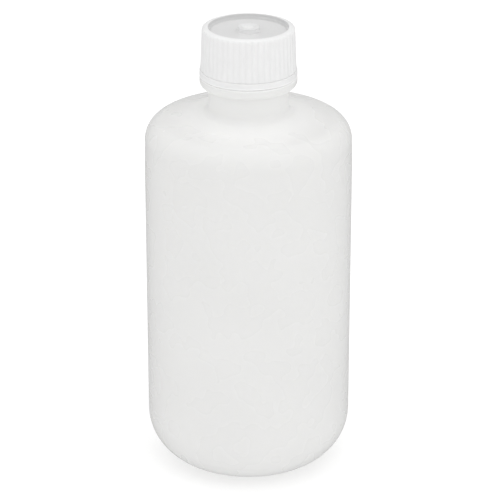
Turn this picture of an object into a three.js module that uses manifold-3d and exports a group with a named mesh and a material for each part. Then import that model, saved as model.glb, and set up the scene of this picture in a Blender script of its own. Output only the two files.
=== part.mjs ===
// A one-litre narrow-mouth reagent bottle with its screw cap and the sealing disc under the cap.
// Millimetres, +Z up. The origin is the middle of the base, on the surface that the bottle stands on.
import * as THREE from 'three';
import { mergeVertices } from 'three/addons/utils/BufferGeometryUtils.js';
import Module from 'manifold-3d';

const wasm = await Module();
wasm.setup();

const TURN = 2 * Math.PI;
const DEGREE = Math.PI / 180;

// ---- bottle body ----
const BODY_RADIUS = 45.7;
const WALL = 1.4;
const BASE_CORNER_RADIUS = 22.6;
const FOOT_INNER_RADIUS = 18.5;        // the flat ring that the bottle stands on ends here
const PUSH_UP = 3;                     // how far the middle of the base is raised
const STRAIGHT_TOP = 140;              // above this the wall draws in slightly
const SHOULDER_START = 153.1;          // top of the wall, where the shoulder's corner begins
const SHOULDER_RADIUS = 45.45;         // the body's radius there
const SHOULDER_CORNER_RADIUS = 9.4;
const SHOULDER_SLOPE = 10 * DEGREE;    // slope of the shoulder from its corner up to the neck
const NECK_FILLET_RADIUS = 3.5;

// ---- neck, 38 mm finish with six threads to the inch ----
const NECK_RADIUS = 17.55;
const BORE_RADIUS = 15.6;
const LIP_TOP = 199.3;
const LIP_ROUNDING = 0.6;
const BEAD_RADIUS = 21.32;
const BEAD_TOP = 182.15;
const BEAD_ROUNDING = 2;               // of its upper half
const BEAD_UNDERSIDE_RADIUS = 2.9;
const COLLAR_RADIUS = 18.45;           // the neck slopes in from the bead to this, inside the cap's mouth
const COLLAR_TOP = 183;
const PITCH = 25.4 / 6;
const THREAD_RADIUS = 18.75;
const THREAD_START = 186.8;            // height of the ridge's middle where the neck thread begins
const THREAD_TURNS = 2;
const THREAD_ROOT_WIDTH = 2.4;
const THREAD_CREST_WIDTH = 1.2;
const THREAD_RUN_OUT = 30 * DEGREE;    // over this angle a ridge sinks into its wall at each end
const BURIED = 0.5;                    // how deep a joined piece reaches into what it is joined to

// ---- cap ----
const CAP_BOTTOM = 182.3;
const CAP_TOP = 204.4;
const CAP_TOP_RADIUS = 20.2;           // over the ribs
const CAP_DRAFT = 0.0367;              // growth of the cap's radius for each millimetre down
const RIM_SLOPE = 14 * DEGREE;         // the rim's top falls outwards
const RIM_ROUNDING = 1;
const RIM_INNER_RADIUS = 17.4;
const RECESS_DEPTH = 2.4;
const TOP_PANEL = 2;
const BOSS_RADIUS = 4.7;
const BOSS_HEIGHT = 2.4;
const BAND_HEIGHT = 3;
const BAND_RADIUS = 21.3;
const RIB_COUNT = 48;
const RIB_DEPTH = 0.28;
const CAP_INNER_RADIUS = 19.05;
const CAP_THREAD_RADIUS = 18.05;       // inside the cap's thread ridge
const CAP_EDGE = 0.3;                  // bevel on the cap's edges

// ---- sealing disc ----
const LINER_RADIUS = 18.45;
const LINER_THICKNESS = 0.5;
const LINER_GAP = 0.1;                 // to the lip below it and to the cap's top above it

// ---- fineness of the faceted surfaces ----
const BOTTLE_SIDES = 40;
const CAP_SIDES = RIB_COUNT;
const CAP_THREAD_SIDES = RIB_COUNT / 2;
const CORNERS_PER_RIB = 4;             // two on its crest and two in the groove beside it
const BOSS_SIDES = 24;
const BASE_STEPS = 7;
const SHOULDER_STEPS = 5;
const SMALL_ARC_STEPS = 3;
const EDGE_STEPS = 2;
const PUSH_UP_STEPS = 4;
const SAME_POINT = 1e-4;               // corners closer than this are one corner

/** Points of an arc from one angle to another, both ends included. */
function arc(x, z, radius, from, to, steps) {
  const curve = new THREE.EllipseCurve(x, z, radius, radius, from, to, to < from);
  return curve.getPoints(steps);
}

/** Closed body of revolution about +Z from an outline of (radius, height) points. */
function revolve(outline, sides) {
  return new THREE.LatheGeometry(outline, sides).rotateX(Math.PI / 2);
}

/** Closed body swept through a list of sections, each with the same number of points. */
function sweep(sections) {
  const size = sections[0].length;
  const index = [];
  for (let row = 1; row < sections.length; row += 1) {
    for (let k = 0; k < size; k += 1) {
      const next = (k + 1) % size;
      const [a, b] = [(row - 1) * size + k, (row - 1) * size + next];
      const [c, d] = [row * size + k, row * size + next];
      index.push(a, b, d, a, d, c);
    }
  }
  const last = (sections.length - 1) * size;
  for (let k = 2; k < size; k += 1) {
    index.push(0, k, k - 1);
    index.push(last, last + k - 1, last + k);
  }
  const geometry = new THREE.BufferGeometry().setFromPoints(sections.flat());
  geometry.setIndex(index);
  return geometry;
}

/** A solid for joining and cutting. */
function toSolid(geometry) {
  const bare = geometry.clone();
  bare.deleteAttribute('normal');
  bare.deleteAttribute('uv');
  const merged = mergeVertices(bare, SAME_POINT);
  const mesh = new wasm.Mesh({
    numProp: 3,
    vertProperties: new Float32Array(merged.attributes.position.array),
    triVerts: new Uint32Array(merged.index.array),
  });
  return new wasm.Manifold(mesh);
}

/** The geometry of a finished solid. */
function fromSolid(solid) {
  const mesh = solid.getMesh();
  const geometry = new THREE.BufferGeometry();
  geometry.setAttribute('position', new THREE.BufferAttribute(mesh.vertProperties, 3));
  geometry.setIndex(new THREE.BufferAttribute(mesh.triVerts, 1));
  return geometry;
}

/**
 * A right-hand thread ridge that rises from a start height. It stands on a wall at wallRadius and has its
 * crest at crestRadius, which is smaller than wallRadius for a thread on the inside of a cap.
 */
function threadRidge(wallRadius, crestRadius, start, sides) {
  const steps = THREAD_TURNS * sides;
  const outward = Math.sign(crestRadius - wallRadius);
  const buriedRadius = wallRadius - outward * BURIED;
  const sunkRadius = wallRadius - outward * BURIED / 2;
  const sections = [];
  for (let step = 0; step <= steps; step += 1) {
    const angle = (step / sides) * TURN;
    const fromEnd = Math.min(angle, THREAD_TURNS * TURN - angle);
    const rise = Math.min(1, fromEnd / THREAD_RUN_OUT);
    const crest = sunkRadius + (crestRadius - sunkRadius) * rise;
    const middle = start + (PITCH * angle) / TURN;
    const corners = [
      [buriedRadius, -THREAD_ROOT_WIDTH / 2],
      [crest, -THREAD_CREST_WIDTH / 2],
      [crest, THREAD_CREST_WIDTH / 2],
      [buriedRadius, THREAD_ROOT_WIDTH / 2],
    ];
    if (outward < 0) corners.reverse();
    sections.push(corners.map(([radius, dz]) => new THREE.Vector3(
      radius * Math.cos(angle), radius * Math.sin(angle), middle + dz)));
  }
  return sweep(sections.reverse());
}

/** Outline of the bottle's outside, from the middle of the base up to the inner edge of the lip. */
function bottleOutside() {
  const footRadius = BODY_RADIUS - BASE_CORNER_RADIUS;
  const shoulderEnd = Math.PI / 2 - SHOULDER_SLOPE;
  const cornerMiddle = SHOULDER_RADIUS - SHOULDER_CORNER_RADIUS;
  const cornerEnd = new THREE.Vector2(
    cornerMiddle + SHOULDER_CORNER_RADIUS * Math.sin(SHOULDER_SLOPE),
    SHOULDER_START + SHOULDER_CORNER_RADIUS * Math.cos(SHOULDER_SLOPE));
  const filletMiddle = NECK_RADIUS + NECK_FILLET_RADIUS;
  const filletStart = filletMiddle - NECK_FILLET_RADIUS * Math.sin(SHOULDER_SLOPE);
  const filletFoot = cornerEnd.y + (cornerEnd.x - filletStart) * Math.tan(SHOULDER_SLOPE);
  const filletHeight = filletFoot + NECK_FILLET_RADIUS * Math.cos(SHOULDER_SLOPE);
  const beadMiddle = BEAD_TOP - BEAD_ROUNDING;
  const undersideMiddle = BEAD_RADIUS - BEAD_UNDERSIDE_RADIUS;
  const upperMiddle = BEAD_RADIUS - BEAD_ROUNDING;
  return [
    ...pushUp(PUSH_UP, FOOT_INNER_RADIUS, 0),
    ...arc(footRadius, BASE_CORNER_RADIUS, BASE_CORNER_RADIUS, -Math.PI / 2, 0, BASE_STEPS),
    new THREE.Vector2(BODY_RADIUS, STRAIGHT_TOP),
    ...arc(cornerMiddle, SHOULDER_START, SHOULDER_CORNER_RADIUS, 0, shoulderEnd, SHOULDER_STEPS),
    ...arc(filletMiddle, filletHeight, NECK_FILLET_RADIUS, shoulderEnd + Math.PI, Math.PI, SMALL_ARC_STEPS),
    new THREE.Vector2(NECK_RADIUS, beadMiddle - BEAD_UNDERSIDE_RADIUS),
    ...arc(undersideMiddle, beadMiddle, BEAD_UNDERSIDE_RADIUS, -Math.PI / 2, 0, SMALL_ARC_STEPS),
    ...arc(upperMiddle, beadMiddle, BEAD_ROUNDING, 0, Math.PI / 2, SMALL_ARC_STEPS).slice(1),
    new THREE.Vector2(COLLAR_RADIUS, COLLAR_TOP),
    new THREE.Vector2(NECK_RADIUS, COLLAR_TOP + COLLAR_RADIUS - NECK_RADIUS),
    ...arc(NECK_RADIUS - LIP_ROUNDING, LIP_TOP - LIP_ROUNDING, LIP_ROUNDING, 0, Math.PI / 2, EDGE_STEPS),
    new THREE.Vector2(BORE_RADIUS, LIP_TOP),
  ];
}

/** Raised middle of the base: points from the axis out to a radius, where it reaches its foot height. */
function pushUp(height, radius, foot) {
  const points = [];
  for (let step = 0; step <= PUSH_UP_STEPS; step += 1) {
    const share = step / PUSH_UP_STEPS;
    points.push(new THREE.Vector2(radius * share, foot + (height * (1 + Math.cos(Math.PI * share))) / 2));
  }
  return points;
}

/** Outline of the bottle's hollow, from the lip down to the middle of its floor. */
function bottleInside() {
  const shoulderEnd = Math.PI / 2 - SHOULDER_SLOPE;
  const cornerMiddle = SHOULDER_RADIUS - SHOULDER_CORNER_RADIUS;
  const cornerRadius = SHOULDER_CORNER_RADIUS - WALL;
  const cornerEnd = new THREE.Vector2(
    cornerMiddle + cornerRadius * Math.sin(SHOULDER_SLOPE),
    SHOULDER_START + cornerRadius * Math.cos(SHOULDER_SLOPE));
  const filletRadius = NECK_FILLET_RADIUS + WALL;
  const filletMiddle = BORE_RADIUS + filletRadius;
  const filletStart = filletMiddle - filletRadius * Math.sin(SHOULDER_SLOPE);
  const filletFoot = cornerEnd.y + (cornerEnd.x - filletStart) * Math.tan(SHOULDER_SLOPE);
  const filletHeight = filletFoot + filletRadius * Math.cos(SHOULDER_SLOPE);
  const floorCorner = BASE_CORNER_RADIUS - WALL;
  return [
    ...arc(filletMiddle, filletHeight, filletRadius, Math.PI, shoulderEnd + Math.PI, SMALL_ARC_STEPS),
    ...arc(cornerMiddle, SHOULDER_START, cornerRadius, shoulderEnd, 0, SHOULDER_STEPS),
    new THREE.Vector2(BODY_RADIUS - WALL, STRAIGHT_TOP),
    ...arc(BODY_RADIUS - BASE_CORNER_RADIUS, BASE_CORNER_RADIUS, floorCorner, 0, -Math.PI / 2, BASE_STEPS),
    ...pushUp(PUSH_UP, FOOT_INNER_RADIUS, WALL).reverse(),
  ];
}

function makeBottle() {
  const shell = toSolid(revolve([...bottleOutside(), ...bottleInside()], BOTTLE_SIDES));
  const thread = toSolid(threadRidge(NECK_RADIUS, THREAD_RADIUS, THREAD_START, BOTTLE_SIDES));
  return fromSolid(shell.add(thread));
}

/** Outline of the cap without its ribs and boss, from the middle of its ceiling round to its top. */
function capOutline() {
  const floor = CAP_TOP - RECESS_DEPTH;
  const ceiling = floor - TOP_PANEL;
  const bandTop = CAP_BOTTOM + BAND_HEIGHT;
  const rim = rimArcMiddle();
  return [
    new THREE.Vector2(0, ceiling),
    new THREE.Vector2(CAP_INNER_RADIUS, ceiling),
    new THREE.Vector2(CAP_INNER_RADIUS, CAP_BOTTOM + 2 * CAP_EDGE),
    new THREE.Vector2(CAP_INNER_RADIUS + CAP_EDGE, CAP_BOTTOM),
    new THREE.Vector2(BAND_RADIUS - CAP_EDGE, CAP_BOTTOM),
    new THREE.Vector2(BAND_RADIUS, CAP_BOTTOM + CAP_EDGE),
    new THREE.Vector2(BAND_RADIUS, bandTop),
    new THREE.Vector2(grooveRadius(bandTop), bandTop),
    ...arc(rim.x, rim.y, RIM_ROUNDING, 0, Math.PI / 2 - RIM_SLOPE, EDGE_STEPS),
    new THREE.Vector2(RIM_INNER_RADIUS, CAP_TOP),
    new THREE.Vector2(RIM_INNER_RADIUS - CAP_EDGE, floor),
    new THREE.Vector2(0, floor),
  ];
}

/** Middle of the arc that rounds the rim's outer edge, at the foot of the rim's sloping top. */
function rimArcMiddle() {
  const radius = CAP_TOP_RADIUS - RIB_DEPTH - RIM_ROUNDING;
  const topEnd = radius + RIM_ROUNDING * Math.sin(RIM_SLOPE);
  const fall = (topEnd - RIM_INNER_RADIUS) * Math.tan(RIM_SLOPE);
  return new THREE.Vector2(radius, CAP_TOP - fall - RIM_ROUNDING * Math.cos(RIM_SLOPE));
}

/** Radius of the grooves between the ribs at a height. */
function grooveRadius(height) {
  return CAP_TOP_RADIUS + CAP_DRAFT * (CAP_TOP - height) - RIB_DEPTH;
}

/** The sleeve of upright grip ribs, buried in the cap on its inside and at its foot. */
function makeGrip() {
  const foot = CAP_BOTTOM + BAND_HEIGHT / 2;
  const top = rimArcMiddle().y;
  const inside = grooveRadius(top) - BURIED;
  const outline = [
    new THREE.Vector2(inside, top),
    new THREE.Vector2(inside, foot),
    new THREE.Vector2(grooveRadius(foot), foot),
    new THREE.Vector2(grooveRadius(top), top),
    new THREE.Vector2(inside, top),
  ];
  const sleeve = revolve(outline, CORNERS_PER_RIB * RIB_COUNT);
  const corners = sleeve.attributes.position;
  for (let k = 0; k < corners.count; k += 1) {
    const column = Math.floor(k / outline.length);
    const onCrest = column % CORNERS_PER_RIB < CORNERS_PER_RIB / 2;
    const radius = Math.hypot(corners.getX(k), corners.getY(k));
    if (onCrest && radius > inside + SAME_POINT) {
      const growth = (radius + RIB_DEPTH) / radius;
      corners.setX(k, corners.getX(k) * growth);
      corners.setY(k, corners.getY(k) * growth);
    }
  }
  return toSolid(sleeve);
}

/** The round boss in the middle of the cap's top. */
function makeBoss() {
  const floor = CAP_TOP - RECESS_DEPTH;
  const top = floor + BOSS_HEIGHT;
  return toSolid(revolve([
    new THREE.Vector2(0, floor - BURIED),
    new THREE.Vector2(BOSS_RADIUS, floor - BURIED),
    new THREE.Vector2(BOSS_RADIUS, top - CAP_EDGE),
    new THREE.Vector2(BOSS_RADIUS - CAP_EDGE, top),
    new THREE.Vector2(0, top),
  ], BOSS_SIDES));
}

function makeCap() {
  const shell = toSolid(revolve(capOutline(), CAP_SIDES));
  const start = THREAD_START - PITCH / 2;
  const thread = toSolid(threadRidge(CAP_INNER_RADIUS, CAP_THREAD_RADIUS, start, CAP_THREAD_SIDES));
  return fromSolid(shell.add(makeGrip()).add(makeBoss()).add(thread));
}

function makeLiner() {
  const bottom = LIP_TOP + LINER_GAP;
  const top = bottom + LINER_THICKNESS;
  return revolve([
    new THREE.Vector2(0, bottom),
    new THREE.Vector2(LINER_RADIUS, bottom),
    new THREE.Vector2(LINER_RADIUS, top),
    new THREE.Vector2(0, top),
  ], CAP_SIDES);
}

function naturalPolyethylene() {
  return new THREE.MeshStandardMaterial({ color: 0xeeeeec, roughness: 0.45, metalness: 0 });
}

function naturalPolypropylene() {
  return new THREE.MeshStandardMaterial({ color: 0xe6e8ea, roughness: 0.3, metalness: 0 });
}

function whiteFoam() {
  return new THREE.MeshStandardMaterial({ color: 0xf7f7f5, roughness: 0.8, metalness: 0 });
}

/** A named sub-part. */
function piece(name, geometry, material) {
  const mesh = new THREE.Mesh(geometry, material);
  mesh.name = name;
  return mesh;
}

const reagentBottle = new THREE.Group();
reagentBottle.add(piece('bottle', makeBottle(), naturalPolyethylene()));
reagentBottle.add(piece('screw_cap', makeCap(), naturalPolypropylene()));
reagentBottle.add(piece('cap_liner', makeLiner(), whiteFoam()));

export default reagentBottle;
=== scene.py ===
"""Looks of a one-litre plastic reagent bottle with a ribbed screw cap.

Metres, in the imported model's frame: +Z up, origin in the middle of the base, viewer on the -Y side.
"""
import math

import bpy
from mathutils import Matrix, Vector


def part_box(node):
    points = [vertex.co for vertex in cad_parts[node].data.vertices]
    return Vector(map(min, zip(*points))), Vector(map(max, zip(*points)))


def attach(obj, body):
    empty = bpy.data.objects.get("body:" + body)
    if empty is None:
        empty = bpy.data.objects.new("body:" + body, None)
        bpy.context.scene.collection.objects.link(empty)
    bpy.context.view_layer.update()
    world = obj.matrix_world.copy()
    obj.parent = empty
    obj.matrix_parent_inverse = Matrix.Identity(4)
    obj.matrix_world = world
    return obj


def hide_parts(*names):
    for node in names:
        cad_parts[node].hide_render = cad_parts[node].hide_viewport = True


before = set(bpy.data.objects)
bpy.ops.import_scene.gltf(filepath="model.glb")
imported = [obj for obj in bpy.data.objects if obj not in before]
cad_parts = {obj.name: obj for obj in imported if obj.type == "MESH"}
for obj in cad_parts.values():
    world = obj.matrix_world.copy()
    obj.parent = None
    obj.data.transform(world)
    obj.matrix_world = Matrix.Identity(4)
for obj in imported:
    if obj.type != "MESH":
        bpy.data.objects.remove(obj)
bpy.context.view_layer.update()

MM = 0.001
TURN = 2 * math.pi
RIGHT_ANGLE = math.pi / 2

# ---- sizes from the frame ----
BODY_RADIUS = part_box("bottle")[1].x
LIP_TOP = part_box("bottle")[1].z
CAP_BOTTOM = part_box("screw_cap")[0].z
CAP_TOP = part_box("screw_cap")[1].z
LINER_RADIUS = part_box("cap_liner")[1].x
LINER_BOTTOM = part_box("cap_liner")[0].z
LINER_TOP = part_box("cap_liner")[1].z

# ---- bottle body ----
WALL = 1.4 * MM
BASE_CORNER_RADIUS = 22.6 * MM
FOOT_INNER_RADIUS = 18.5 * MM      # inner edge of the flat ring that the bottle stands on
FOOT_RADIUS = BODY_RADIUS - BASE_CORNER_RADIUS   # and its outer edge
PUSH_UP = 3 * MM                   # how far the middle of the base is raised
STRAIGHT_TOP = 140 * MM            # above this the wall draws in slightly
SHOULDER_START = 153.1 * MM        # top of the wall, where the shoulder's corner begins
SHOULDER_RADIUS = 45.45 * MM       # the body's radius there
SHOULDER_CORNER_RADIUS = 9.4 * MM
SHOULDER_CORNER_MIDDLE = SHOULDER_RADIUS - SHOULDER_CORNER_RADIUS
SHOULDER_SLOPE = math.radians(10)
SHOULDER_CORNER_END = RIGHT_ANGLE - SHOULDER_SLOPE   # angle at which the corner's arc meets the slope

# ---- neck ----
NECK_START = 169 * MM              # top of the fillet between shoulder and neck
NECK_RADIUS = 17.55 * MM
NECK_FILLET_RADIUS = 3.5 * MM
BORE_RADIUS = 15.6 * MM
LIP_ROUNDING = 0.6 * MM
BEAD_RADIUS = 21.32 * MM           # the bead is the ring round the neck just below the cap
BEAD_MIDDLE = 180.15 * MM
BEAD_TOP = 182.25 * MM
BEAD_ROUNDING = 1.2 * MM           # of its upper edge
BEAD_UNDERSIDE_RADIUS = 2.9 * MM
BEAD_FILLET = 0.8 * MM
COLLAR_FOOT_RADIUS = 19.32 * MM    # here the bead's flat top ends, and a collar slopes in and up to the neck
COLLAR_RADIUS = 18.45 * MM
COLLAR_TOP = 183 * MM

# ---- thread ----
PITCH = 25.4 * MM / 6
THREAD_START = 186.8 * MM          # height of the ridge's middle where the neck thread begins
THREAD_TURNS = 2
THREAD_HEIGHT = 1.2 * MM
THREAD_ROOT_WIDTH = 2.4 * MM
THREAD_CREST_WIDTH = 1.2 * MM
THREAD_RUN_OUT = math.radians(30)  # over this angle a ridge sinks into its wall at each end

# ---- mould marks ----
SEAM_HEIGHT = 0.07 * MM
SEAM_WIDTH = 0.5 * MM
PINCH_HEIGHT = 0.45 * MM
PINCH_WIDTH = 1.3 * MM
PINCH_LENGTH = 30 * MM

# ---- cap ----
CAP_TOP_RADIUS = 20.2 * MM         # over the ribs
CAP_DRAFT = 0.0367                 # growth of the cap's radius for each unit of length down
RIM_SLOPE = math.radians(14)       # the rim's top falls outwards
RIM_ROUNDING = 1 * MM
RIM_INNER_RADIUS = 17.4 * MM
RIM_INNER_ROUNDING = 0.35 * MM
RECESS_FLOOR = CAP_TOP - 2.4 * MM
TOP_PANEL = 2 * MM
CAP_CEILING = RECESS_FLOOR - TOP_PANEL
BOSS_RADIUS = 4.7 * MM
BOSS_TOP = RECESS_FLOOR + 2.4 * MM
BOSS_ROUNDING = 0.5 * MM
DIMPLE_RADIUS = 3.6 * MM           # the shallow dish in the boss's top
DIMPLE_DEPTH = 0.8 * MM
BAND_TOP = CAP_BOTTOM + 3 * MM
BAND_RADIUS = 21.3 * MM
BOTTOM_ROUNDING = 0.4 * MM
CAP_EDGE = 0.4 * MM                # rounding of the cap's other edges and inside corners
FLARE_HEIGHT = 3 * MM
FLARE = 0.12 * MM                  # extra radius at the foot of the ribs
RIB_COUNT = 48
RIB_DEPTH = 0.28 * MM
RIB_FADE = 1.2 * MM
CAP_INNER_RADIUS = 19.05 * MM
CAP_THREAD_HEIGHT = 1.0 * MM

# ---- liner ----
LINER_EDGE = 0.15 * MM

# ---- places where the plastic looks different, and where light and shade are painted on ----
PAINTED_LIGHT_RADII = (38 * MM, 25 * MM)   # painted light on the shoulder grows inwards between these radii, lifting shade round the neck's foot
MATT_RADII = (30 * MM, 22 * MM)    # and more matt between these
NECK_LIGHT_AND_MATT_TOP = BEAD_TOP - 6 * MM # from here up to the bead's top the painted light and the matt finish fade away
GAP_LIGHT_START = 0.9 * MM          # painted light starts to lift the shade this near to the gap under the cap
GAP_LIGHT_END = 0.3 * MM            # and the plastic is painted near white from here on
RIM_SHADE = (CAP_TOP - 1.3 * MM, CAP_TOP - 0.7 * MM)           # the skirt's tone turns into the rim's painted shade
RECESS_WALL_SHADE = (CAP_TOP - 1.4 * MM, CAP_TOP - 0.9 * MM)   # the recess wall's painted shade deepens upwards
BOSS_TONE_WIDTH = 0.8 * MM         # the boss's lighter, unshaded tone reaches this far out over the recess floor
PANEL_SHADE_DEPTH = 0.5 * MM        # and the recess's painted shade this far down into the panel

# ---- camera ----
VIEW_HEIGHT = 99.3 * MM            # height on the axis that the camera looks towards
VIEW_DISTANCE = 1.1726
VIEW_ELEVATION = math.radians(23.22)
VIEW_SIDE_SHIFT = 0.67 * MM        # the camera stands this much to the right of the axis
LENS = 188.8                       # in millimetres, as the sensor's width is
SENSOR_WIDTH = 36

# ---- studio light ----
SKY_BY_HEIGHT = [(0.0, 0.72), (0.35, 0.86), (0.7, 1.02), (1.0, 1.44)]   # (sine of elevation, strength)
FLOOR_SEEN = (0.80, 0.24)          # the floor's albedo and own glow to the camera: white but for a shadow
FLOOR_THROWN = (0.28, 0.77)        # the same as it lights the bottle, whose foot stays bright
IN_REFLECTIONS = 0.30              # share of sky and floor light that shines in reflections: dark outlines


# ---------------------------------------------------------------- outlines

def arc(middle, radius, start, end, steps):
    """Points (radius, height) along an arc, both ends included. Angles run from outwards (0) to up."""
    points = []
    for k in range(steps + 1):
        angle = start + (end - start) * k / steps
        points.append((middle[0] + radius * math.cos(angle), middle[1] + radius * math.sin(angle)))
    return points


def line(start, end, steps):
    """Points along a straight line, without its last point."""
    return [(start[0] + (end[0] - start[0]) * k / steps, start[1] + (end[1] - start[1]) * k / steps)
            for k in range(steps)]


def smooth(share):
    """Eases a share from 0 to 1."""
    share = min(1.0, max(0.0, share))
    return share * share * (3 - 2 * share)


def ridge_share(distance, width):
    """A rounded ridge: 1 at its middle, 0 from half its width."""
    return smooth(1 - abs(distance) / (width / 2))


# ------------------------------------------------- reliefs: (angle, radius, height) -> (shift out, shift up)

def no_relief(angle, radius, height):
    return 0.0, 0.0


def thread_share(angle, height, start):
    """How much of a thread ridge stands at a place: 1 on its crest, 0 between turns."""
    flank = (THREAD_ROOT_WIDTH - THREAD_CREST_WIDTH) / 2
    share = 0.0
    for turn in range(THREAD_TURNS):
        travel = angle + TURN * turn
        middle = start + PITCH * travel / TURN
        from_end = min(travel, THREAD_TURNS * TURN - travel)
        side = (THREAD_ROOT_WIDTH / 2 - abs(height - middle)) / flank
        share = max(share, smooth(side) * smooth(from_end / THREAD_RUN_OUT))
    return share


def neck_thread(angle, radius, height):
    return THREAD_HEIGHT * thread_share(angle, height, THREAD_START), 0.0


def cap_thread(angle, radius, height):
    """The cap's own ridge, half a pitch below the neck's."""
    return -CAP_THREAD_HEIGHT * thread_share(angle, height, THREAD_START - PITCH / 2), 0.0


def seam(angle, radius, height):
    """The fine line where the mould halves meet, on the +X and -X sides. The rest of the wall is sunk."""
    across = radius * math.sin(angle)
    return SEAM_HEIGHT * (ridge_share(across, SEAM_WIDTH) - 1), 0.0


def pinch_off(angle, radius, height):
    """The ridge under the base where the mould pinched the tube shut."""
    across = radius * math.sin(angle)
    along = abs(radius * math.cos(angle))
    fade = smooth((PINCH_LENGTH / 2 - along) / PINCH_WIDTH)
    return 0.0, -PINCH_HEIGHT * ridge_share(across, PINCH_WIDTH) * fade


def ribs(angle, radius, height):
    """Rounded grip ribs: the outline is over the ribs, and the narrow grooves between them are cut back."""
    fade = smooth((CAP_TOP - height) / RIB_FADE) * smooth((height - BAND_TOP) / (RIB_FADE / 2))
    wave = (1 - math.cos(RIB_COUNT * angle)) / 2
    return -RIB_DEPTH * wave ** 1.5 * fade, 0.0


# ---------------------------------------------------------------- solids

def even_angles(count):
    return [TURN * k / count for k in range(count)]


def bottle_angles():
    """Even columns, with fine extra ones across the mould seam on both sides."""
    columns = even_angles(240)
    fine_step = math.radians(0.11)
    fine_columns = 6                 # on each side of a seam's middle
    for side in (0.0, math.pi):
        for k in range(1, fine_columns + 1):
            columns.append((side + fine_step * k) % TURN)
            columns.append((side - fine_step * k) % TURN)
    return sorted(columns)


def revolve(name, sections, angles):
    """A closed body of revolution. Its sections, (points, relief), run from the axis round to the axis."""
    rows = [(radius, height, relief) for points, relief in sections for radius, height in points]
    vertices = []
    row_start = []
    for radius, height, relief in rows:
        row_start.append(len(vertices))
        if radius == 0:
            vertices.append((0, 0, height + relief(0.0, 0.0, height)[1]))
            continue
        for angle in angles:
            out, up = relief(angle, radius, height)
            reach = radius + out
            vertices.append((reach * math.cos(angle), reach * math.sin(angle), height + up))
    faces = []
    count = len(angles)
    for k in range(len(rows) - 1):
        low, high = row_start[k], row_start[k + 1]
        for column in range(count):
            after = (column + 1) % count
            if rows[k][0] == 0:
                faces.append((low, high + after, high + column))
            elif rows[k + 1][0] == 0:
                faces.append((low + column, low + after, high))
            else:
                faces.append((low + column, low + after, high + after, high + column))
    mesh = bpy.data.meshes.new(name)
    mesh.from_pydata(vertices, [], faces)
    mesh.validate()
    mesh.shade_smooth()
    piece = bpy.data.objects.new(name, mesh)
    bpy.context.scene.collection.objects.link(piece)
    return piece


# ---------------------------------------------------------------- bottle

def raised_base(foot):
    """The base from the axis out to the foot ring, raised in the middle. foot is its height at the ring."""
    steps = 40
    return [(FOOT_INNER_RADIUS * k / steps, foot + PUSH_UP * (1 + math.cos(math.pi * k / steps)) / 2)
            for k in range(steps + 1)]


def neck_fillet(corner_radius, neck_radius, fillet_radius):
    """The arc from the shoulder's slope up into the neck."""
    slope_start = (SHOULDER_CORNER_MIDDLE + corner_radius * math.sin(SHOULDER_SLOPE),
                   SHOULDER_START + corner_radius * math.cos(SHOULDER_SLOPE))
    middle = neck_radius + fillet_radius
    foot_radius = middle - fillet_radius * math.sin(SHOULDER_SLOPE)
    foot = slope_start[1] + (slope_start[0] - foot_radius) * math.tan(SHOULDER_SLOPE)
    height = foot + fillet_radius * math.cos(SHOULDER_SLOPE)
    return arc((middle, height), fillet_radius, SHOULDER_CORNER_END + math.pi, math.pi, steps=10)


def body_outside():
    """Sections from the middle of the base up to the foot of the neck."""
    foot = line((FOOT_INNER_RADIUS, 0.0), (FOOT_RADIUS, 0.0), steps=6)[1:]
    base_corner = arc((FOOT_RADIUS, BASE_CORNER_RADIUS), BASE_CORNER_RADIUS, -RIGHT_ANGLE, 0, steps=32)
    wall = line((BODY_RADIUS, BASE_CORNER_RADIUS), (BODY_RADIUS, STRAIGHT_TOP), steps=30)[1:]
    draw_in = [(BODY_RADIUS - (BODY_RADIUS - SHOULDER_RADIUS) * smooth(share), height)
               for share, height in line((0, STRAIGHT_TOP), (1, SHOULDER_START), steps=8)]
    shoulder = arc((SHOULDER_CORNER_MIDDLE, SHOULDER_START), SHOULDER_CORNER_RADIUS,
                   0, SHOULDER_CORNER_END, steps=20)
    fillet = neck_fillet(SHOULDER_CORNER_RADIUS, NECK_RADIUS, NECK_FILLET_RADIUS)
    slope = line(shoulder[-1], fillet[0], steps=10)[1:]
    return [
        (raised_base(0.0), pinch_off),
        (foot, no_relief),
        (base_corner + wall + draw_in + shoulder + slope + fillet, seam),
    ]


def neck_outside():
    """Sections from below the bead up to the lip's inner edge."""
    bead_bottom = BEAD_MIDDLE - BEAD_UNDERSIDE_RADIUS
    below_bead = arc((NECK_RADIUS + BEAD_FILLET, bead_bottom - BEAD_FILLET), BEAD_FILLET,
                     math.pi, RIGHT_ANGLE, steps=5)
    underside = arc((BEAD_RADIUS - BEAD_UNDERSIDE_RADIUS, BEAD_MIDDLE), BEAD_UNDERSIDE_RADIUS,
                    -RIGHT_ANGLE, 0, steps=12)
    upper_edge = arc((BEAD_RADIUS - BEAD_ROUNDING, BEAD_TOP - BEAD_ROUNDING), BEAD_ROUNDING,
                     0, RIGHT_ANGLE, steps=9)
    thread_foot = COLLAR_TOP + COLLAR_RADIUS - NECK_RADIUS
    collar = [(COLLAR_FOOT_RADIUS, BEAD_TOP), (COLLAR_RADIUS, COLLAR_TOP), (NECK_RADIUS, thread_foot)]
    lip_foot = LIP_TOP - LIP_ROUNDING
    threaded = line((NECK_RADIUS, thread_foot), (NECK_RADIUS, lip_foot), steps=90)[1:]
    lip = (arc((NECK_RADIUS - LIP_ROUNDING, lip_foot), LIP_ROUNDING, 0, RIGHT_ANGLE, steps=5)
           + arc((BORE_RADIUS + LIP_ROUNDING, lip_foot), LIP_ROUNDING, RIGHT_ANGLE, math.pi, steps=5))
    return [
        (below_bead + underside + upper_edge + collar, no_relief),
        (threaded, neck_thread),
        (lip, no_relief),
    ]


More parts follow.
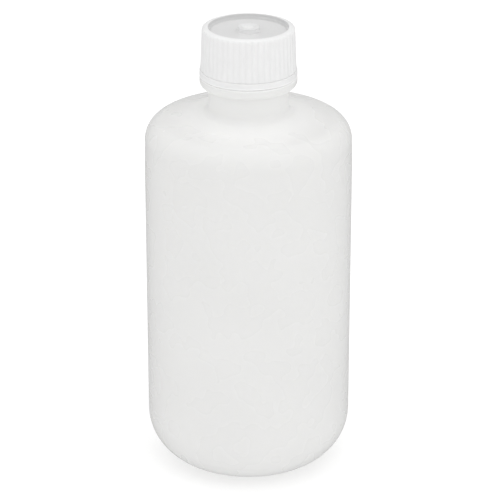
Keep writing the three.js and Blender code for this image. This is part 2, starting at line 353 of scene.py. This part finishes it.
def bottle_inside():
    """Section from the bore down to the middle of the bottle's floor."""
    corner_radius = SHOULDER_CORNER_RADIUS - WALL
    fillet = neck_fillet(corner_radius, BORE_RADIUS, NECK_FILLET_RADIUS + WALL)[::-1]
    bore = line((BORE_RADIUS, LIP_TOP - LIP_ROUNDING), fillet[0], steps=12)[1:]
    shoulder = arc((SHOULDER_CORNER_MIDDLE, SHOULDER_START), corner_radius,
                   SHOULDER_CORNER_END, 0, steps=14)
    wall = line((BODY_RADIUS - WALL, STRAIGHT_TOP), (BODY_RADIUS - WALL, BASE_CORNER_RADIUS), steps=12)
    base_corner = arc((FOOT_RADIUS, BASE_CORNER_RADIUS), BASE_CORNER_RADIUS - WALL,
                      0, -RIGHT_ANGLE, steps=20)
    base = raised_base(WALL)[::-1]
    return [(bore + fillet + shoulder + wall + base_corner + base, no_relief)]


def make_bottle():
    return revolve("bottle_body", body_outside() + neck_outside() + bottle_inside(), bottle_angles())


# ---------------------------------------------------------------- cap and liner

def cap_radius(height):
    """Radius over the ribs at a height, with a gentle flare just above the band."""
    flare = FLARE * smooth((BAND_TOP + FLARE_HEIGHT - height) / FLARE_HEIGHT)
    return CAP_TOP_RADIUS + CAP_DRAFT * (CAP_TOP - height) + flare


def cap_inside():
    """Sections from the middle of the ceiling down to the cap's mouth."""
    lead_in_top = CAP_BOTTOM + 2 * CAP_EDGE
    ceiling = line((0.0, CAP_CEILING), (CAP_INNER_RADIUS - CAP_EDGE, CAP_CEILING), steps=12)
    corner = arc((CAP_INNER_RADIUS - CAP_EDGE, CAP_CEILING - CAP_EDGE), CAP_EDGE, RIGHT_ANGLE, 0, steps=4)
    wall = line((CAP_INNER_RADIUS, CAP_CEILING - CAP_EDGE), (CAP_INNER_RADIUS, lead_in_top), steps=84)[1:]
    lead_in = line((CAP_INNER_RADIUS, lead_in_top), (CAP_INNER_RADIUS + CAP_EDGE, CAP_BOTTOM), steps=3)
    return [
        (ceiling + corner, no_relief),
        (wall, cap_thread),
        (lead_in, no_relief),
    ]


def cap_outside():
    """Sections from the cap's lower edge up the band and the ribbed skirt and over the rim."""
    rim_middle = CAP_TOP_RADIUS - RIM_ROUNDING
    rim_top_end = rim_middle + RIM_ROUNDING * math.sin(RIM_SLOPE)
    rim_inner_edge = RIM_INNER_RADIUS + RIM_INNER_ROUNDING
    rim_fall = (rim_top_end - rim_inner_edge) * math.tan(RIM_SLOPE)
    rim_start = CAP_TOP - rim_fall - RIM_ROUNDING * math.cos(RIM_SLOPE)
    bottom = arc((BAND_RADIUS - BOTTOM_ROUNDING, CAP_BOTTOM + BOTTOM_ROUNDING), BOTTOM_ROUNDING,
                 -RIGHT_ANGLE, 0, steps=6)
    band = line((BAND_RADIUS, CAP_BOTTOM + BOTTOM_ROUNDING), (BAND_RADIUS, BAND_TOP - CAP_EDGE), steps=6)[1:]
    band_edge = arc((BAND_RADIUS - CAP_EDGE, BAND_TOP - CAP_EDGE), CAP_EDGE, 0, RIGHT_ANGLE, steps=5)
    skirt_steps = 40
    heights = [BAND_TOP + (rim_start - BAND_TOP) * k / skirt_steps for k in range(skirt_steps + 1)]
    skirt = [(cap_radius(height), height) for height in heights]
    outer_edge = arc((rim_middle, rim_start), RIM_ROUNDING, 0, RIGHT_ANGLE - RIM_SLOPE, steps=8)[1:]
    inner_edge = arc((rim_inner_edge, CAP_TOP - RIM_INNER_ROUNDING), RIM_INNER_ROUNDING,
                     RIGHT_ANGLE - RIM_SLOPE, math.pi, steps=5)
    return [
        (bottom + band + band_edge, no_relief),
        (skirt + outer_edge + inner_edge, ribs),
    ]


def cap_recess():
    """Section from the rim down into the recess and over the dished boss to the axis."""
    wall_foot = RECESS_FLOOR + CAP_EDGE
    wall = line((RIM_INNER_RADIUS, CAP_TOP - RIM_INNER_ROUNDING), (RIM_INNER_RADIUS - CAP_EDGE, wall_foot),
                steps=5)[1:]
    corner = arc((RIM_INNER_RADIUS - 2 * CAP_EDGE, wall_foot), CAP_EDGE, 0, -RIGHT_ANGLE, steps=4)
    boss_foot = arc((BOSS_RADIUS + CAP_EDGE, wall_foot), CAP_EDGE, -RIGHT_ANGLE, -math.pi, steps=4)
    panel = line(corner[-1], boss_foot[0], steps=14)[1:]
    boss = arc((BOSS_RADIUS - BOSS_ROUNDING, BOSS_TOP - BOSS_ROUNDING), BOSS_ROUNDING,
               0, RIGHT_ANGLE, steps=6)
    dimple_steps = 12
    dimple = [(DIMPLE_RADIUS * (1 - k / dimple_steps),
               BOSS_TOP - DIMPLE_DEPTH * smooth(2 * k / dimple_steps))
              for k in range(dimple_steps + 1)]
    return [(wall + corner + panel + boss_foot + boss + dimple, no_relief)]


def make_cap():
    columns_per_rib = 10
    sections = cap_inside() + cap_outside() + cap_recess()
    return revolve("ribbed_screw_cap", sections, even_angles(RIB_COUNT * columns_per_rib))


def make_liner():
    edge_radius = LINER_RADIUS - LINER_EDGE
    under = line((0.0, LINER_BOTTOM), (edge_radius, LINER_BOTTOM), steps=10)
    side = (arc((edge_radius, LINER_BOTTOM + LINER_EDGE), LINER_EDGE, -RIGHT_ANGLE, 0, steps=4)
            + arc((edge_radius, LINER_TOP - LINER_EDGE), LINER_EDGE, 0, RIGHT_ANGLE, steps=4))
    over = line((0.0, LINER_TOP), (edge_radius, LINER_TOP), steps=10)[::-1]
    return revolve("foam_liner", [(under + side + over, no_relief)], even_angles(96))


# ---------------------------------------------------------------- material nodes

def grey(level):
    return level, level, level


class Nodes:
    """A new material and short ways to add and join its nodes."""

    def __init__(self, name):
        self.material = bpy.data.materials.new(name)
        self.material.use_nodes = True
        self.tree = self.material.node_tree
        self.shader = self.tree.nodes["Principled BSDF"]
        self.place = self.add("ShaderNodeTexCoord").outputs["Object"]

    def add(self, kind, **settings):
        node = self.tree.nodes.new(kind)
        for name, value in settings.items():
            setattr(node, name, value)
        return node

    def join(self, source, target):
        self.tree.links.new(source, target)

    def noise(self, scale, detail, stretch=(1, 1, 1)):
        """Noise over the object's own space; scale is in features per metre."""
        mapping = self.add("ShaderNodeMapping")
        mapping.inputs["Scale"].default_value = stretch
        self.join(self.place, mapping.inputs["Vector"])
        node = self.add("ShaderNodeTexNoise")
        node.inputs["Scale"].default_value = scale
        node.inputs["Detail"].default_value = detail
        self.join(mapping.outputs["Vector"], node.inputs["Vector"])
        return node.outputs["Fac"]

    def spread(self, value, low, high):
        """Maps noise, which lies mostly between 0.3 and 0.7, to a range."""
        node = self.add("ShaderNodeMapRange")
        node.inputs["From Min"].default_value = 0.3
        node.inputs["From Max"].default_value = 0.7
        node.inputs["To Min"].default_value = low
        node.inputs["To Max"].default_value = high
        self.join(value, node.inputs["Value"])
        return node.outputs["Result"]

    def between(self, share, low, high):
        """A number that goes from low to high as a share goes from 0 to 1."""
        node = self.add("ShaderNodeMapRange")
        node.inputs["To Min"].default_value = low
        node.inputs["To Max"].default_value = high
        self.join(share, node.inputs["Value"])
        return node.outputs["Result"]

    def fade(self, value, start, end):
        """0 at the start value, 1 at the end value, eased between them."""
        node = self.add("ShaderNodeMapRange", interpolation_type="SMOOTHSTEP")
        node.inputs["From Min"].default_value = start
        node.inputs["From Max"].default_value = end
        self.join(value, node.inputs["Value"])
        return node.outputs["Result"]

    def both(self, first, second):
        """The product of two masks."""
        node = self.add("ShaderNodeMath", operation="MULTIPLY")
        self.join(first, node.inputs[0])
        self.join(second, node.inputs[1])
        return node.outputs["Value"]

    def from_axis(self):
        """Distance of a place from the object's own Z axis."""
        flat = self.add("ShaderNodeVectorMath", operation="MULTIPLY")
        flat.inputs[1].default_value = (1, 1, 0)
        self.join(self.place, flat.inputs[0])
        length = self.add("ShaderNodeVectorMath", operation="LENGTH")
        self.join(flat.outputs["Vector"], length.inputs[0])
        return length.outputs["Value"]

    def coordinates(self):
        """X, Y and Z of a place in the object's own space."""
        split = self.add("ShaderNodeSeparateXYZ")
        self.join(self.place, split.inputs["Vector"])
        return split.outputs

    def height(self):
        return self.coordinates()["Z"]

    def grooves(self):
        """1 in the grooves between the cap's ribs, 0 on the ribs."""
        place = self.coordinates()
        angle = self.add("ShaderNodeMath", operation="ARCTAN2")
        self.join(place["Y"], angle.inputs[0])
        self.join(place["X"], angle.inputs[1])
        repeated = self.add("ShaderNodeMath", operation="MULTIPLY")
        repeated.inputs[1].default_value = RIB_COUNT
        self.join(angle.outputs["Value"], repeated.inputs[0])
        wave = self.add("ShaderNodeMath", operation="COSINE")
        self.join(repeated.outputs["Value"], wave.inputs[0])
        return self.fade(wave.outputs["Value"], 0.5, -1.0)

    def two_tone(self, value, first, second):
        """A mix of two colours, each one a plain colour or the output of a node."""
        node = self.add("ShaderNodeMix", data_type="RGBA")
        self.join(value, node.inputs["Factor"])
        for tone, side in ((first, node.inputs["A"]), (second, node.inputs["B"])):
            if isinstance(tone, tuple):
                side.default_value = (*tone, 1)
            else:
                self.join(tone, side)
        return node.outputs["Result"]

    def bump(self, value, distance, under=None):
        node = self.add("ShaderNodeBump")
        node.inputs["Distance"].default_value = distance
        self.join(value, node.inputs["Height"])
        if under is not None:
            self.join(under, node.inputs["Normal"])
        return node.outputs["Normal"]


# ---------------------------------------------------------------- materials

def natural_polyethylene():
    """Milky, satin, faintly uneven blow-moulded plastic.

    Round the neck's foot painted light lifts the shade, and the plastic is more matt there.
    Painted light also lifts the shade beside the gap under the cap.
    In the bore it scatters more deeply, so that light comes through the neck's wall.
    """
    look = Nodes("natural_polyethylene")
    radius = look.from_axis()
    height = look.height()
    above_wall = look.both(look.fade(height, STRAIGHT_TOP, SHOULDER_START),
                           look.fade(height, BEAD_TOP, NECK_LIGHT_AND_MATT_TOP))
    # painted light: next to the gap under the cap the bead's top is lightened near white, where shade would
    # fall
    painted_light_in_gap = look.both(look.fade(height, BEAD_TOP - GAP_LIGHT_START, BEAD_TOP - GAP_LIGHT_END),
                       look.fade(radius, COLLAR_FOOT_RADIUS - GAP_LIGHT_END, COLLAR_FOOT_RADIUS))
    in_bore = look.both(look.fade(radius, BORE_RADIUS + LIP_ROUNDING, BORE_RADIUS),
                        look.fade(height, SHOULDER_START, NECK_START))

    plain = look.two_tone(look.spread(look.noise(28, 1), 0, 1), (0.81, 0.81, 0.80), (0.825, 0.825, 0.815))
    # painted light: the shoulder round the neck's foot is lightened where the cap and bead would shade it
    painted_light_foot = look.both(look.fade(radius, *PAINTED_LIGHT_RADII), above_wall)
    tone = look.two_tone(painted_light_foot, plain, (0.885, 0.885, 0.875))
    look.join(look.two_tone(painted_light_in_gap, tone, (0.97, 0.97, 0.96)), look.shader.inputs["Base Color"])

    satin = look.spread(look.noise(90, 1), 0.25, 0.30)
    matt_foot = look.both(look.fade(radius, *MATT_RADII), above_wall)
    look.join(look.two_tone(matt_foot, satin, grey(0.48)), look.shader.inputs["Roughness"])

    waves = look.bump(look.noise(55, 1), 0.06 * MM)
    grain = look.bump(look.noise(1500, 2), 0.006 * MM, under=waves)
    look.join(grain, look.shader.inputs["Normal"])
    look.shader.inputs["IOR"].default_value = 1.5
    look.join(look.between(in_bore, 0.3, 1.0), look.shader.inputs["Subsurface Weight"])
    look.join(look.between(in_bore, 1.5 * MM, 5 * MM), look.shader.inputs["Subsurface Scale"])
    look.shader.inputs["Subsurface Radius"].default_value = (1.0, 1.0, 0.95)
    return look.material


def cap_outside_tone(look, radius, height):
    """Colour of the band, the ribbed skirt and the rim, with painted shade in the grooves and on the rim's
    top.
    """
    solid = look.two_tone(look.spread(look.noise(160, 3), 0, 1), grey(0.84), grey(0.88))
    on_skirt = look.both(look.fade(height, BAND_TOP, BAND_TOP + RIB_FADE),
                         look.fade(radius, RIM_INNER_RADIUS + RIM_ROUNDING, CAP_TOP_RADIUS - RIB_DEPTH))
    # painted shade: the grooves between the ribs are a little darker than the ribs
    skirt = look.two_tone(look.both(look.grooves(), on_skirt), solid, grey(0.855))
    # painted shade: the rim's top is a little darker than the skirt
    return look.two_tone(look.fade(height, *RIM_SHADE), skirt, grey(0.85))


def cap_recess_shade(look, radius, height):
    """Colour of the recess: painted shade over the floor and the wall, darkest high on the wall, and a
    bright boss.
    """
    # painted shade: the recess floor and wall are darker, the wall darkest at its top; the boss's side is a
    # little shaded
    boss_side = look.fade(height, BOSS_TOP - BOSS_ROUNDING / 2, BOSS_TOP - 2 * BOSS_ROUNDING)
    boss = look.two_tone(boss_side, grey(0.76), grey(0.84))
    off_boss = look.fade(radius, BOSS_RADIUS, BOSS_RADIUS + BOSS_TONE_WIDTH)
    panel = look.two_tone(off_boss, boss, grey(0.72))
    wall = look.two_tone(look.fade(height, *RECESS_WALL_SHADE), grey(0.72), grey(0.66))
    on_wall = look.both(look.fade(height, RECESS_FLOOR, RECESS_FLOOR + CAP_EDGE), off_boss)
    return look.two_tone(on_wall, panel, wall)


def natural_polypropylene():
    """Clearer moulded plastic of the cap, with painted shade in the recess on top and inside the rim."""
    look = Nodes("natural_polypropylene")
    radius = look.from_axis()
    height = look.height()
    shaded_recess = look.both(look.fade(radius, RIM_INNER_RADIUS + RIM_INNER_ROUNDING, RIM_INNER_RADIUS),
                          look.fade(height, CAP_CEILING, RECESS_FLOOR - PANEL_SHADE_DEPTH))
    # painted light: the cap's lower edge is lightened near white next to the gap, where shade would fall
    painted_light_near_gap = look.fade(height, CAP_BOTTOM + GAP_LIGHT_START, CAP_BOTTOM + GAP_LIGHT_END)
    outside = cap_outside_tone(look, radius, height)
    tone = look.two_tone(shaded_recess, outside, cap_recess_shade(look, radius, height))
    look.join(look.two_tone(painted_light_near_gap, tone, grey(0.97)), look.shader.inputs["Base Color"])
    look.join(look.spread(look.noise(400, 3), 0.30, 0.42), look.shader.inputs["Roughness"])
    flow = look.bump(look.noise(220, 2, stretch=(1, 1, 0.3)), 0.01 * MM)
    grain = look.bump(look.noise(2500, 2), 0.001 * MM, under=flow)
    look.join(grain, look.shader.inputs["Normal"])
    look.shader.inputs["IOR"].default_value = 1.49
    look.shader.inputs["Subsurface Weight"].default_value = 0.35
    look.shader.inputs["Subsurface Radius"].default_value = (1.0, 1.0, 1.0)
    look.shader.inputs["Subsurface Scale"].default_value = 1 * MM
    return look.material


def white_foam():
    """Fine closed-cell foam of the sealing disc."""
    look = Nodes("white_foam")
    tone = look.two_tone(look.spread(look.noise(900, 4), 0, 1), (0.82, 0.82, 0.80), (0.90, 0.90, 0.88))
    look.join(tone, look.shader.inputs["Base Color"])
    look.join(look.spread(look.noise(700, 2), 0.75, 0.9), look.shader.inputs["Roughness"])
    cells = look.add("ShaderNodeTexVoronoi")
    cells.inputs["Scale"].default_value = 3000
    look.join(look.place, cells.inputs["Vector"])
    look.join(look.bump(cells.outputs["Distance"], 0.05 * MM), look.shader.inputs["Normal"])
    return look.material


def pale_floor():
    """White light table that burns out in the picture. It looks darker in reflections."""
    look = Nodes("pale_floor")
    path = look.add("ShaderNodeLightPath")
    seen = path.outputs["Is Camera Ray"]
    mirrored = path.outputs["Is Glossy Ray"]
    seen_albedo, seen_glow = FLOOR_SEEN
    thrown_albedo, thrown_glow = FLOOR_THROWN
    uneven = look.spread(look.noise(3, 2), 0, 1)
    albedo_seen = look.two_tone(uneven, grey(seen_albedo - 0.01), grey(seen_albedo + 0.01))
    albedo_thrown = look.two_tone(mirrored, grey(thrown_albedo), grey(thrown_albedo * IN_REFLECTIONS))
    glow_thrown = look.two_tone(mirrored, grey(thrown_glow), grey(thrown_glow * IN_REFLECTIONS))
    look.join(look.two_tone(seen, albedo_thrown, albedo_seen), look.shader.inputs["Base Color"])
    look.join(look.two_tone(seen, glow_thrown, grey(seen_glow)), look.shader.inputs["Emission Color"])
    look.shader.inputs["Emission Strength"].default_value = 1.0
    look.shader.inputs["Roughness"].default_value = 1.0
    look.shader.inputs["Specular IOR Level"].default_value = 0.0
    return look.material


# ---------------------------------------------------------------- stage

def make_floor():
    reach = 6.0
    mesh = bpy.data.meshes.new("floor")
    corners = [(-reach, -reach, 0), (reach, -reach, 0), (reach, reach, 0), (-reach, reach, 0)]
    mesh.from_pydata(corners, [], [(0, 1, 2, 3)])
    floor = bpy.data.objects.new("floor", mesh)
    bpy.context.scene.collection.objects.link(floor)
    floor.data.materials.append(pale_floor())


def make_softbox(name, azimuth, elevation, distance, size, power):
    """A square area light that faces the middle of the bottle. Azimuth 0 is the viewer's side."""
    light = bpy.data.lights.new(name, "AREA")
    light.shape = "SQUARE"
    light.size = size
    light.energy = power
    lamp = bpy.data.objects.new(name, light)
    lamp.visible_glossy = False
    level = distance * math.cos(elevation)
    rise = distance * math.sin(elevation)
    middle = Vector((0, 0, VIEW_HEIGHT))
    lamp.location = middle + Vector((level * math.sin(azimuth), -level * math.cos(azimuth), rise))
    lamp.rotation_euler = (lamp.location - middle).to_track_quat("Z", "Y").to_euler()
    bpy.context.scene.collection.objects.link(lamp)


def make_world():
    """A sky that grows brighter with height, and is darker in reflections."""
    world = bpy.data.worlds.new("studio")
    world.use_nodes = True
    tree = world.node_tree
    place = tree.nodes.new("ShaderNodeTexCoord")
    split = tree.nodes.new("ShaderNodeSeparateXYZ")
    ramp = tree.nodes.new("ShaderNodeValToRGB")
    brightest = max(strength for height, strength in SKY_BY_HEIGHT)
    elements = ramp.color_ramp.elements
    while len(elements) < len(SKY_BY_HEIGHT):
        elements.new(0.5)        # the next lines move it to its own height
    for element, (height, strength) in zip(elements, SKY_BY_HEIGHT):
        element.position = height
        element.color = (*grey(strength / brightest), 1)
    tree.links.new(place.outputs["Generated"], split.inputs["Vector"])
    tree.links.new(split.outputs["Z"], ramp.inputs["Fac"])
    background = tree.nodes["Background"]
    tree.links.new(ramp.outputs["Color"], background.inputs["Color"])
    level = tree.nodes.new("ShaderNodeMapRange")
    level.inputs["To Min"].default_value = brightest
    level.inputs["To Max"].default_value = brightest * IN_REFLECTIONS
    path = tree.nodes.new("ShaderNodeLightPath")
    tree.links.new(path.outputs["Is Glossy Ray"], level.inputs["Value"])
    tree.links.new(level.outputs["Result"], background.inputs["Strength"])
    bpy.context.scene.world = world


def make_camera():
    camera = bpy.data.cameras.new("camera")
    camera.lens = LENS
    camera.sensor_width = SENSOR_WIDTH
    camera.clip_end = 20
    holder = bpy.data.objects.new("camera", camera)
    level = VIEW_DISTANCE * math.cos(VIEW_ELEVATION)
    rise = VIEW_DISTANCE * math.sin(VIEW_ELEVATION)
    holder.location = (VIEW_SIDE_SHIFT, -level, VIEW_HEIGHT + rise)
    holder.rotation_euler = (RIGHT_ANGLE - VIEW_ELEVATION, 0, 0)
    bpy.context.scene.collection.objects.link(holder)
    bpy.context.scene.camera = holder


def dress(piece, material, body, node):
    """Gives a piece its material, its body and the CAD node that it stands for."""
    piece.data.materials.append(material)
    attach(piece, body)
    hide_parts(node)


make_camera()
make_world()
make_floor()
make_softbox("key_softbox", azimuth=math.radians(35), elevation=math.radians(45),
             distance=1.6, size=1.0, power=1.5)
make_softbox("fill_softbox", azimuth=math.radians(-50), elevation=math.radians(35),
             distance=1.8, size=1.0, power=0.3)
dress(make_bottle(), natural_polyethylene(), "bottle", "bottle")
dress(make_cap(), natural_polypropylene(), "cap", "screw_cap")
dress(make_liner(), white_foam(), "liner", "cap_liner")
bpy.context.scene.view_settings.view_transform = "Standard"
